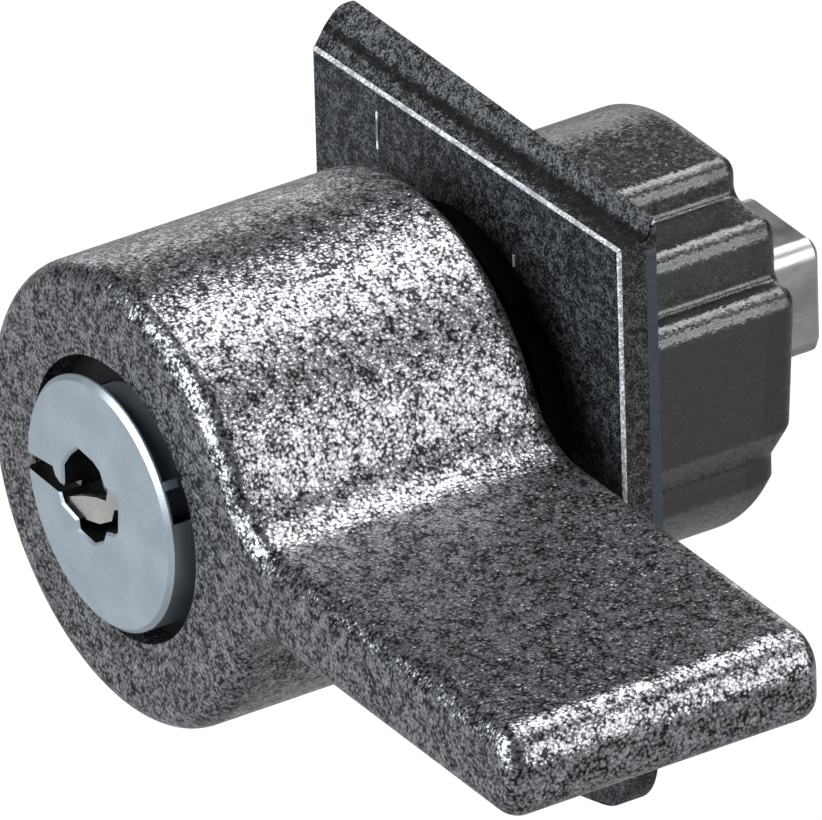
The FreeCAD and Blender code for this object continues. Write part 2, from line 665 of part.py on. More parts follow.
def make_square_spindle():
    spindle = along_y(HEAD_R, HEAD_FRONT_Y, HEAD_BACK_Y)
    spindle = spindle.fuse(along_y(JOURNAL_R, HEAD_BACK_Y, STOP_FRONT_Y - SEAT_GAP))
    square = square_bar(SQUARE, STOP_FRONT_Y - SEAT_GAP, SQUARE_END_Y, SQUARE_CORNER_R)
    square = square.makeChamfer(SQUARE_END_CHAMFER, edges_in_plane(square, SQUARE_END_Y))
    spindle = spindle.fuse(square)
    for inner_x, outer_x in ((PRONG_INNER_X, PRONG_OUTER_X), (-PRONG_OUTER_X, -PRONG_INNER_X)):
        prong = block(inner_x, outer_x, PRONG_FRONT_Y, HEAD_FRONT_Y, -PRONG_HALF_H, PRONG_HALF_H)
        spindle = spindle.fuse(prong)
    spindle = spindle.removeSplitter()
    spindle = spindle.cut(cross_hole(ROLL_PIN_R + SEAT_GAP))
    half_w = SEAL_GROOVE_W / 2
    groove_y = SEAL_GROOVE_Y
    spindle = spindle.cut(ring(JOURNAL_R + 1, SEAL_GROOVE_R, groove_y - half_w, groove_y + half_w))
    clip_back_y = CLIP_FRONT_Y + CLIP_T
    spindle = spindle.cut(ring(SQUARE, CLIP_GROOVE_R, CLIP_FRONT_Y - SEAT_GAP, clip_back_y + SEAT_GAP))
    return spindle.cut(along_y(TAPPED_R, SQUARE_END_Y - TAPPED_DEPTH, SQUARE_END_Y + 1))


def make_shaft_seal():
    middle_r = JOURNAL_R + RUN_GAP / 2 - SEAL_WIRE_R
    return Part.makeTorus(middle_r, SEAL_WIRE_R, Vector(0, SEAL_GROOVE_Y, 0), Vector(0, 1, 0))


def make_stop_disc():
    disc = along_y(STOP_HUB_R, STOP_FRONT_Y, STOP_BACK_Y)
    half_span = LUG_SPAN / 2
    lug = sector(
        STOP_HUB_R - 1, LUG_R, LUG_ANGLE - half_span, LUG_ANGLE + half_span, STOP_FRONT_Y, STOP_BACK_Y)
    disc = disc.fuse(lug).removeSplitter()
    return disc.cut(square_bar(SQUARE + 2 * SEAT_GAP, STOP_FRONT_Y - 1, STOP_BACK_Y + 1))


def make_spring_washer():
    """Dished washer, thinnest at rest against disc and clip."""
    front_y = STOP_BACK_Y + SEAT_GAP / 2
    section = Part.makePolygon([
        Vector(WASHER_INNER_R, front_y, 0),
        Vector(WASHER_OUTER_R, front_y + WASHER_DISH, 0),
        Vector(WASHER_OUTER_R, front_y + WASHER_DISH + WASHER_T, 0),
        Vector(WASHER_INNER_R, front_y + WASHER_T, 0),
        Vector(WASHER_INNER_R, front_y, 0),
    ])
    return Part.Face(section).revolve(Vector(0, 0, 0), Vector(0, 1, 0), 360)


def make_retaining_clip():
    clip = ring(CLIP_R, CLIP_GROOVE_R + SEAT_GAP, CLIP_FRONT_Y, CLIP_FRONT_Y + CLIP_T)
    half = CLIP_MOUTH / 2
    mouth = block(0, CLIP_R + 1, CLIP_FRONT_Y - 1, CLIP_FRONT_Y + CLIP_T + 1, -half, half)
    return clip.cut(mouth)


def make_rear_sleeve():
    sleeve = along_y(SLEEVE_R, SLEEVE_FRONT_Y, HOUSING_LENGTH)
    return sleeve.cut(square_bar(SQUARE + 2 * SEAT_GAP, SLEEVE_FRONT_Y - 1, HOUSING_LENGTH + 1))


# Lock cylinder

def make_cylinder_body():
    body = ring(CYLINDER_R, CORE_R + CORE_RUN, CYLINDER_FRONT_Y, CYLINDER_BACK_Y)
    wall = ring(CORE_R + CORE_RUN, TAIL_R + CORE_RUN, CYLINDER_WALL_Y - CYLINDER_WALL_T, CYLINDER_WALL_Y)
    body = body.fuse(wall).removeSplitter()
    channel_r = CORE_R + CORE_RUN + CHANNEL_DEPTH
    first_y = wafer_y(0) - WAFER_FREE
    last_y = wafer_y(WAFERS - 1) + WAFER_T + WAFER_FREE
    half_w = WAFER_HALF_W + WAFER_FREE
    channel = block(KEYHOLE_X - half_w, KEYHOLE_X + half_w, first_y, last_y, -channel_r, channel_r)
    body = body.cut(channel)
    return body.cut(grub_hole(GRUB_R + SEAT_GAP))


def wafer_y(index):
    return FACE_BACK_Y + WAFER_FIRST + index * WAFER_PITCH


def closed_run(points):
    return [line_edge(a, b) for a, b in zip(points, points[1:] + points[:1])]


def keyhole_mouth():
    """What the chamfered rim of the keyhole takes away."""
    inner = Part.Wire(Part.__sortEdges__(closed_run(KEYHOLE_OUTLINE)))
    outer = inner.makeOffset2D(KEYHOLE_CHAMFER, 2)
    inner.translate(Vector(0, FACE_FRONT_Y + KEYHOLE_CHAMFER, 0))
    outer.translate(Vector(0, FACE_FRONT_Y, 0))
    return Part.makeLoft([outer, inner], True, True)


def make_key_plug():
    face = along_y(FACE_R, FACE_FRONT_Y, FACE_BACK_Y)
    face = face.makeChamfer(FACE_EDGE_CHAMFER, edges_in_plane(face, FACE_FRONT_Y))
    segment = sector(CORE_R - 1, FACE_R, SEGMENT_FROM_DEG, SEGMENT_TO_DEG, FACE_BACK_Y, SEGMENT_BACK_Y)
    tooth = sector(CORE_R - 1, FACE_R, TOOTH_FROM_DEG, TOOTH_TO_DEG, FACE_BACK_Y, FACE_BACK_Y + TOOTH_T)
    plug = face.fuse(segment).fuse(tooth).fuse(along_y(CORE_R, FACE_BACK_Y, CORE_BACK_Y))
    plug = plug.fuse(along_y(TAIL_R, CORE_BACK_Y, TAIL_BACK_Y))
    peg_y = TAIL_BACK_Y + CAM_T - FREE_GAP
    plug = plug.fuse(square_bar(2 * PEG_HALF_W, TAIL_BACK_Y, peg_y)).removeSplitter()
    plug = plug.cut(slab(closed_run(KEYHOLE_OUTLINE), FACE_FRONT_Y - 1, FACE_FRONT_Y + KEYHOLE_DEPTH))
    plug = plug.cut(keyhole_mouth())
    keyway = block(
        KEYHOLE_X - KEYWAY_HALF_W, KEYHOLE_X + KEYWAY_HALF_W,
        FACE_FRONT_Y + KEYHOLE_DEPTH - 1, FACE_FRONT_Y + KEYWAY_DEPTH, -KEYWAY_HALF_H, KEYWAY_HALF_H,
    )
    plug = plug.cut(keyway)
    for index in range(WAFERS):
        slot = block(
            KEYHOLE_X - WAFER_HALF_W - WAFER_FREE, KEYHOLE_X + WAFER_HALF_W + WAFER_FREE,
            wafer_y(index) - WAFER_FREE, wafer_y(index) + WAFER_T + WAFER_FREE,
            -WAFER_HALF_H - WAFER_SPRING_L - WAFER_FREE, WAFER_HALF_H + WAFER_SPRING_L + WAFER_FREE,
        )
        plug = plug.cut(slot)
    notch = slab(closed_run(INDEX_NOTCH), FACE_FRONT_Y - 1, FACE_FRONT_Y + NOTCH_DEPTH)
    groove_front_y = CYLINDER_WALL_Y - SEAT_GAP
    groove_back_y = CYLINDER_WALL_Y + PLUG_CLIP_T + 2 * SEAT_GAP
    return plug.cut(notch).cut(ring(TAIL_R + 1, TAIL_GROOVE_R, groove_front_y, groove_back_y))


def make_dust_shutter():
    """Bright leaf just inside the keyhole, filling the slanting band across it."""
    front_y = FACE_FRONT_Y + SHUTTER_SUNK
    opening = Part.Wire(Part.__sortEdges__(closed_run(KEYHOLE_OUTLINE))).makeOffset2D(-SEAT_GAP, 2)
    inside = Part.Face(opening)
    inside.translate(Vector(0, front_y, 0))
    leaf = inside.extrude(Vector(0, SHUTTER_T, 0))
    return leaf.common(slab(closed_run(SHUTTER_BAND), front_y - 1, front_y + SHUTTER_T + 1))


def make_wafer_tumblers():
    wafers = []
    for index in range(WAFERS):
        y_from = wafer_y(index)
        y_to = y_from + WAFER_T
        wafer = block(
            KEYHOLE_X - WAFER_HALF_W, KEYHOLE_X + WAFER_HALF_W, y_from, y_to, -WAFER_HALF_H, WAFER_HALF_H)
        window_z = (index % 3 - 1) * WAFER_STEP
        window = block(
            KEYHOLE_X - WAFER_WINDOW_HALF_W, KEYHOLE_X + WAFER_WINDOW_HALF_W, y_from - 1, y_to + 1,
            window_z - WAFER_WINDOW_HALF_H, window_z + WAFER_WINDOW_HALF_H,
        )
        wafers.append(wafer.cut(window))
    return Part.makeCompound(wafers)


def make_wafer_springs():
    springs = []
    for index in range(WAFERS):
        start = Vector(KEYHOLE_X, wafer_y(index) + WAFER_T / 2, WAFER_HALF_H)
        spring = Part.makeCylinder(WAFER_SPRING_R - WAFER_FREE, WAFER_SPRING_L, start, Vector(0, 0, 1))
        bore = Part.makeCylinder(WAFER_SPRING_BORE_R - WAFER_FREE, WAFER_SPRING_L, start, Vector(0, 0, 1))
        springs.append(spring.cut(bore))
    return Part.makeCompound(springs)


def make_plug_clip():
    front_y = CYLINDER_WALL_Y + SEAT_GAP
    clip = ring(PLUG_CLIP_R, TAIL_GROOVE_R + SEAT_GAP, front_y, front_y + PLUG_CLIP_T)
    mouth = block(0, PLUG_CLIP_R + 1, front_y - 1, front_y + PLUG_CLIP_T + 1, -TAIL_R / 2, TAIL_R / 2)
    return clip.cut(mouth)


def make_tail_cam():
    cam = along_y(CAM_R, CAM_FRONT_Y, CAM_BACK_Y)
    cam = cam.fuse(along_y(CRANK_PIN_R, CAM_BACK_Y, CRANK_PIN_BACK_Y, x=-CRANK)).removeSplitter()
    socket_y = TAIL_BACK_Y + CAM_T - FREE_GAP + SEAT_GAP
    return cam.cut(square_bar(2 * (PEG_HALF_W + SEAT_GAP), CAM_FRONT_Y - 1, socket_y))


def make_locking_bolt():
    body = block(
        -BOLT_HALF_W, BOLT_HALF_W, BOLT_FRONT_Y, BOLT_BACK_Y, BOLT_FOOT_Z, BOLT_SHOULDER_Z)
    tip = block(
        -BOLT_TIP_HALF_W, BOLT_TIP_HALF_W, BOLT_FRONT_Y, BOLT_BACK_Y, BOLT_SHOULDER_Z, BOLT_TIP_Z)
    bolt = body.fuse(tip).removeSplitter()
    # The crank pin moves on a circle while the bolt moves evenly, so the slot is higher by their lead.
    lead_angle = math.acos(2 / math.pi)
    lead = CRANK * (math.sin(lead_angle) - lead_angle * 2 / math.pi)
    slot = block(
        -CRANK - CRANK_PIN_R - FREE_GAP, CRANK_PIN_R + FREE_GAP, BOLT_FRONT_Y - 1, BOLT_BACK_Y + 1,
        -CRANK_PIN_R - CRANK_SLOT_PLAY, CRANK_PIN_R + lead + CRANK_SLOT_PLAY,
    )
    return bolt.cut(slot)


PARTS = {
    "face_plate": make_face_plate,
    "door_gasket": make_door_gasket,
    "rear_housing": make_rear_housing,
    "rear_cover": make_rear_cover,
    "cover_screws": make_cover_screws,
    "fixing_inserts": make_fixing_inserts,
    "neck_nut": make_neck_nut,
    "front_bush": make_front_bush,
    "knob_handle": make_knob_handle,
    "roll_pin": make_roll_pin,
    "grub_screw": make_grub_screw,
    "square_spindle": make_square_spindle,
    "shaft_seal": make_shaft_seal,
    "stop_disc": make_stop_disc,
    "spring_washer": make_spring_washer,
    "retaining_clip": make_retaining_clip,
    "rear_sleeve": make_rear_sleeve,
    "cylinder_body": make_cylinder_body,
    "key_plug": make_key_plug,
    "dust_shutter": make_dust_shutter,
    "wafer_tumblers": make_wafer_tumblers,
    "wafer_springs": make_wafer_springs,
    "plug_clip": make_plug_clip,
    "tail_cam": make_tail_cam,
    "locking_bolt": make_locking_bolt,
}

os.makedirs("parts", exist_ok=True)
for node, make in PARTS.items():
    shape = make()
    shape.exportStep("parts/" + node + ".step")
    print(node, "solids", len(shape.Solids), "valid", shape.isValid(), "volume", round(shape.Volume, 2))
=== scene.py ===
import json
import math

import bmesh
import bpy
from mathutils import Matrix, Quaternion, Vector

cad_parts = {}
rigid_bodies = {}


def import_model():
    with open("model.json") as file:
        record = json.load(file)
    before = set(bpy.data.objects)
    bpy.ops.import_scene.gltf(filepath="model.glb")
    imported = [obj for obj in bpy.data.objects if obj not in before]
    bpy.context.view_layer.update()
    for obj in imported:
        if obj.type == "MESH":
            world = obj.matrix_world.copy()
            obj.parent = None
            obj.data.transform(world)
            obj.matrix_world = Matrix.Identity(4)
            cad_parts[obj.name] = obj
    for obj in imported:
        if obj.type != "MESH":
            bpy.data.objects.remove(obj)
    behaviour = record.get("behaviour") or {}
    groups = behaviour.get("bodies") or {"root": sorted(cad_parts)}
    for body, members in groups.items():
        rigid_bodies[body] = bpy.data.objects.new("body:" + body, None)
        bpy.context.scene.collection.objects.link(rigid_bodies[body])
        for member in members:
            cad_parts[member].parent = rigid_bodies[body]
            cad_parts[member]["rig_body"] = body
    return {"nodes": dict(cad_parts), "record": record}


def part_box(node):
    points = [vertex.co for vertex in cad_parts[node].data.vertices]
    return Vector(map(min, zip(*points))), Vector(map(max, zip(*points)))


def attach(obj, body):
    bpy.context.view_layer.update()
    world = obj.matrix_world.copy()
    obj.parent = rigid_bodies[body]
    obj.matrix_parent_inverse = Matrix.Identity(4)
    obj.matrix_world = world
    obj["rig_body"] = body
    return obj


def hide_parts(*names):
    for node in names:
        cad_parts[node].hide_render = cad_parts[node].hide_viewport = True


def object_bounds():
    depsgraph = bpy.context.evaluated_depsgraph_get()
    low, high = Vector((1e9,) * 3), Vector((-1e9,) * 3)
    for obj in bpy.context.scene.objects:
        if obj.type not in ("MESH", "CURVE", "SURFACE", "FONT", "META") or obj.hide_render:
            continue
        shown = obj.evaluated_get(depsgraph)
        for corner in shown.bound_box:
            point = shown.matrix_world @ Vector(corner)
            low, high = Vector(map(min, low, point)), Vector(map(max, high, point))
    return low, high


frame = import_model()
cad_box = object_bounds()

MM = 0.001
NODES = frame["nodes"]
SLOT_OF_NODE = {part["node"]: part["material_slot"] for part in frame["record"]["subparts"]}

# The camera looks at the knob's front from the wing side and from above
CAMERA_AZIMUTH = 57.97
CAMERA_ELEVATION = 29.43
CAMERA_ROLL = -1.6
CAMERA_LENS = 1500.0
CAMERA_SENSOR = 36.0
CAMERA_CLIP = (0.5, 100.0)
PIXELS_PER_MM = 16.3
PHOTO_WIDTH = 822
PHOTO_HEIGHT = 820
RIM_CENTRE_PIXEL = (114.5, 499.5)  # where the lock axis meets the knob's front rim

# Shading, and the places of second finishes and of painted light and shade, in millimetres
SMOOTH_DEG = 32.0
MARK_HEIGHT = 0.1            # index ribs above the plate's front
# middle and half length of the index rib, whose ends carry painted highlights
MARK_MIDDLE = 13.1
MARK_HALF_LENGTH = 1.3
PLATE_EDGE_FAR = 15.65       # top of the plate's front at its far and wing-side ends
PLATE_EDGE_WING = 17.0
PLATE_EDGE_ROUND = 0.25
GROOVE_FAR = 16.75           # groove at the lip's foot, where its painted shade lies, at the same two ends
GROOVE_WING = 17.1
LIP_END_ROUND = 0.15
LIP_END_REACH = 0.3          # the rubbed corner of the lip, painted light as its highlight, begins this far under the plate's edge
PLUG_FACE_EDGE = 0.2         # depth of the bright edge round the plug's openings, in front of the painted shade inside them
RUBBED_HIGHLIT_FROM = -19.0          # the rubbed wing-side edge and its painted highlight end above the lower corner

# Threads and springs, in millimetres
SPINDLE_BORE_R = 2.1
SPINDLE_PITCH = 0.8
SPINDLE_TURNS = 11
INSERT_BORE_R = 1.25
INSERT_PITCH = 0.5
INSERT_TURNS = 10.5
THREAD_WIRE_R = 0.27         # radius of the wire that makes a thread, in pitches
THREAD_INSET = 0.4           # threads begin this far inside their bores
SPRING_WIRE_R = 0.07
SPRING_TURNS = 4
SPRINGS = 5
THREAD_SIDES = 4             # sides of the wire's section in threads and in springs
SPRING_SIDES = 8
STEPS_PER_TURN = 24

# Tests for edges and faces: millimetres, radians, and parts of a unit normal
SAME_POINT = 0.0005          # points closer than this are one
END_SLACK = 0.01
FACE_SLACK = 0.05
SHARP_EDGE_RAD = 0.8         # the lip's edges that turn by more than this are bevelled
ROUNDED = (-0.99, -0.1)      # forward part of the normal on a rounded front edge
TURNED_OUT = 0.1             # least upward or wing-side part of it on the edges that are rubbed and painted with a highlight
CORNER_OUT = (0.15, 0.98)    # wing-side part of it on the lip's corner
INWARD = 0.5                 # a hollow's faces look outward by less than this
SIDEWAYS = 0.9               # and along the axis by less than this


# Materials

NOISE_MIDDLE = (0.3, 0.7)


class Recipe:
    """A material under construction, with short names for the nodes that it uses most."""

    def __init__(self, name):
        self.material = bpy.data.materials.new(name)
        self.material.use_nodes = True
        self.tree = self.material.node_tree
        self.shader = self.tree.nodes["Principled BSDF"]
        self.place = self.tree.nodes.new("ShaderNodeTexCoord").outputs["Object"]

    def node(self, kind, **settings):
        made = self.tree.nodes.new(kind)
        for key, value in settings.items():
            setattr(made, key, value)
        return made

    def link(self, source, target):
        self.tree.links.new(source, target)

    def set(self, **values):
        """Give the shader's own sockets one value for the whole surface."""
        for name, value in values.items():
            self.shader.inputs[name.replace("_", " ")].default_value = value

    def stretched(self, scale):
        """Place on the surface with each axis scaled, so that clouds turn into streaks."""
        mapping = self.node("ShaderNodeMapping")
        mapping.inputs["Scale"].default_value = scale
        self.link(self.place, mapping.inputs["Vector"])
        return mapping.outputs["Vector"]

    def axes(self):
        """Sockets X, Y and Z of the place on the surface, in metres."""
        made = self.node("ShaderNodeSeparateXYZ")
        self.link(self.place, made.inputs["Vector"])
        return made.outputs

    def noise(self, size_mm, detail=2.0, roughness=0.5, place=None):
        """Soft clouds whose features are about size_mm across."""
        made = self.node("ShaderNodeTexNoise")
        made.inputs["Scale"].default_value = 1 / (size_mm * MM)
        made.inputs["Detail"].default_value = detail
        made.inputs["Roughness"].default_value = roughness
        self.link(place or self.place, made.inputs["Vector"])
        return made.outputs["Fac"]

    def ramp(self, value, stops):
        """Colour that follows a value; stops are (position, colour)."""
        made = self.node("ShaderNodeValToRGB")
        while len(made.color_ramp.elements) < len(stops):
            made.color_ramp.elements.new(0.5)
        for element, (position, colour) in zip(made.color_ramp.elements, stops):
            element.position = position
            element.color = (*colour, 1.0)
        self.link(value, made.inputs["Fac"])
        return made.outputs["Color"]

    def map(self, value, low_in, high_in, low_out, high_out):
        """Carry a value from one range into another, held within the second."""
        made = self.node("ShaderNodeMapRange")
        made.inputs["From Min"].default_value = low_in
        made.inputs["From Max"].default_value = high_in
        made.inputs["To Min"].default_value = low_out
        made.inputs["To Max"].default_value = high_out
        self.link(value, made.inputs["Value"])
        return made.outputs["Result"]

    def spread(self, clouds, low, high):
        """Carry the middle of a noise, where nearly all of it lies, into a range."""
        return self.map(clouds, *NOISE_MIDDLE, low, high)

    def maths(self, operation, *values):
        made = self.node("ShaderNodeMath", operation=operation)
        for socket, value in zip(made.inputs, values):
            if isinstance(value, (int, float)):
                socket.default_value = value
            else:
                self.link(value, socket)
        return made.outputs["Value"]

    def flakes(self, size_mm, tilt):
        """Surface broken into small facets, each turned its own way by up to half the tilt."""
        cells = self.node("ShaderNodeTexVoronoi", feature="F1")
        cells.inputs["Scale"].default_value = 1 / (size_mm * MM)
        self.link(self.place, cells.inputs["Vector"])
        centred = self.node("ShaderNodeVectorMath", operation="SUBTRACT")
        centred.inputs[1].default_value = (0.5, 0.5, 0.5)
        self.link(cells.outputs["Color"], centred.inputs[0])
        scaled = self.node("ShaderNodeVectorMath", operation="SCALE")
        scaled.inputs["Scale"].default_value = tilt
        self.link(centred.outputs["Vector"], scaled.inputs[0])
        turned = self.node("ShaderNodeVectorMath", operation="ADD")
        self.link(self.node("ShaderNodeNewGeometry").outputs["Normal"], turned.inputs[0])
        self.link(scaled.outputs["Vector"], turned.inputs[1])
        unit = self.node("ShaderNodeVectorMath", operation="NORMALIZE")
        self.link(turned.outputs["Vector"], unit.inputs[0])
        return unit.outputs["Vector"], cells.outputs["Distance"]

    def bump(self, height, depth_mm, under=None):
        """Normal of a relief that is depth_mm deep, laid over another normal if one is given."""
        made = self.node("ShaderNodeBump")
        made.inputs["Strength"].default_value = 1.0
        made.inputs["Distance"].default_value = depth_mm * MM
        self.link(height, made.inputs["Height"])
        if under is not None:
            self.link(under, made.inputs["Normal"])
        return made.outputs["Normal"]

    def finish(self, colour=None, roughness=None, normal=None):
        """Join colour, roughness and normal to the shader and hand back the material."""
        for value, socket in ((colour, "Base Color"), (roughness, "Roughness"), (normal, "Normal")):
            if value is None:
                continue
            if isinstance(value, tuple):
                self.shader.inputs[socket].default_value = (*value, 1.0)
            elif isinstance(value, (int, float)):
                self.shader.inputs[socket].default_value = value
            else:
                self.link(value, self.shader.inputs[socket])
        return self.material


CRUMB_SIZE = 0.8       # crumbs and clumps of a coat, in grains
CLUMP_SIZE = 3.5
EDGE_DROP = 0.6        # how far a grain falls off from its middle to its rim
CLUMP_RISE = 0.8       # and how much a clump lifts it
SATIN_CLOUD_MM = 3.5
METAL_CLOUD_MM = 2.5

# Lip coat with painted shade along the groove at the lip's foot and painted light on the lip's face:
# millimetres from the groove, then what is added to the grain's height
LIP_TILT = 0.25
LIP_DEPTH = 0.015
GROOVE_PAINTED_SHADE = (0.05, 0.3, -0.4, 0.0)
LIP_PAINTED_LIGHT = (0.2, 0.7, 0.0, 0.06)


def grains(recipe, grain_mm, tilt, depth_mm):
    """Height, normal and slow clouds of a coat that is full of small grains."""
    facets, edge = recipe.flakes(grain_mm, tilt)
    crumbs = recipe.noise(grain_mm * CRUMB_SIZE, detail=2.0, roughness=0.6)
    clumps = recipe.noise(grain_mm * CLUMP_SIZE, detail=2.0)
    height = recipe.maths("SUBTRACT", crumbs, recipe.maths("MULTIPLY", edge, EDGE_DROP))
    height = recipe.maths("ADD", height, recipe.maths("MULTIPLY", clumps, CLUMP_RISE))
    return height, recipe.bump(height, depth_mm, under=facets), clumps


def sandy_coat(
    name, dark, crest, grain_mm, tilt, depth_mm, gloss, ior, level=0.5, metallic=0.0, span=(0.52, 0.95),
):
    """Powder coat: dull and black in the hollows, each crest glinting its own way.

    span is the range of grain heights from the darkest hollow to the brightest crest,
    and gloss the roughness on a crest and in a hollow."""
    recipe = Recipe(name)
    height, normal, clumps = grains(recipe, grain_mm, tilt, depth_mm)
    tone = recipe.ramp(recipe.map(height, span[0], span[1], 0.0, 1.0), [(0.0, dark), (1.0, crest)])
    roughness = recipe.map(height, span[0], span[1], gloss[1], gloss[0])
    recipe.set(IOR=ior, Specular_IOR_Level=level, Metallic=metallic)
    return recipe.finish(tone, roughness, normal)


def lip_coat_painted_light_and_shade(name, dark, crest, grain_mm, gloss):
    """Coat of the lip and its ledge, with painted light on the lip's face and near-black painted shade
    along the groove at its foot.
    """
    recipe = Recipe(name)
    height, normal, clumps = grains(recipe, grain_mm, LIP_TILT, LIP_DEPTH)
    axes = recipe.axes()
    half_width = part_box("face_plate")[1].x
    groove = recipe.map(axes["X"], -half_width, half_width, GROOVE_FAR * MM, GROOVE_WING * MM)
    above = recipe.maths("SUBTRACT", axes["Z"], groove)
    near = recipe.maths("ABSOLUTE", above)
    shade = recipe.map(near, GROOVE_PAINTED_SHADE[0] * MM, GROOVE_PAINTED_SHADE[1] * MM, *GROOVE_PAINTED_SHADE[2:])
    light = recipe.map(above, LIP_PAINTED_LIGHT[0] * MM, LIP_PAINTED_LIGHT[1] * MM, *LIP_PAINTED_LIGHT[2:])
    value = recipe.maths("ADD", height, recipe.maths("ADD", shade, light))
    tone = recipe.ramp(value, [(0.5, dark), (1.0, crest)])
    recipe.set(IOR=1.5, Specular_IOR_Level=0.3)
    return recipe.finish(tone, recipe.spread(clumps, gloss[0], gloss[1]), normal)


def rib_coat_painted_highlight(name, middle, ends):
    """Rib painted lighter toward its two ends, as painted highlights there."""
    recipe = Recipe(name)
    away = recipe.maths("SUBTRACT", recipe.axes()["Z"], MARK_MIDDLE * MM)
    away = recipe.maths("DIVIDE", recipe.maths("ABSOLUTE", away), MARK_HALF_LENGTH * MM)
    toward_highlit_end = recipe.maths("ADD", away, recipe.spread(recipe.noise(0.25), -0.2, 0.2))
    tone = recipe.ramp(toward_highlit_end, [(0.45, middle), (0.85, ends)])
    return recipe.finish(tone, 0.4, recipe.bump(recipe.noise(0.2), 0.01))


def satin_coat(name, dark, light, grain_mm, depth_mm, gloss, level=0.5):
    """Smooth satin coat with a fine grain and faint clouds."""
    recipe = Recipe(name)
    fine = recipe.noise(grain_mm, detail=3.0, roughness=0.6)
    clouds = recipe.noise(SATIN_CLOUD_MM, detail=3.0)
    speckle = recipe.maths("ADD", fine, recipe.spread(clouds, -0.1, 0.1))
    tone = recipe.ramp(speckle, [(0.35, dark), (0.7, light)])
    normal = recipe.bump(fine, depth_mm)
    roughness = recipe.spread(clouds, gloss[0], gloss[1])
    recipe.set(IOR=1.5, Specular_IOR_Level=level)
    return recipe.finish(tone, roughness, normal)


def metal(name, dark, light, gloss, lines=None, lines_mm=0.12, depth_mm=0.004, metallic=1.0):
    """Bare or plated metal; lines is a stretch that turns the noise into tool marks."""
    recipe = Recipe(name)
    place = recipe.stretched(lines) if lines else recipe.place
    marks = recipe.noise(lines_mm, detail=3.0, roughness=0.6, place=place)
    clouds = recipe.noise(METAL_CLOUD_MM, detail=3.0)
    streaks = recipe.maths("ADD", marks, recipe.spread(clouds, -0.15, 0.15))
    tone = recipe.ramp(streaks, [(0.3, dark), (0.7, light)])
    normal = recipe.bump(marks, depth_mm)
    roughness = recipe.spread(clouds, gloss[0], gloss[1])
    recipe.set(Metallic=metallic)
    return recipe.finish(tone, roughness, normal)


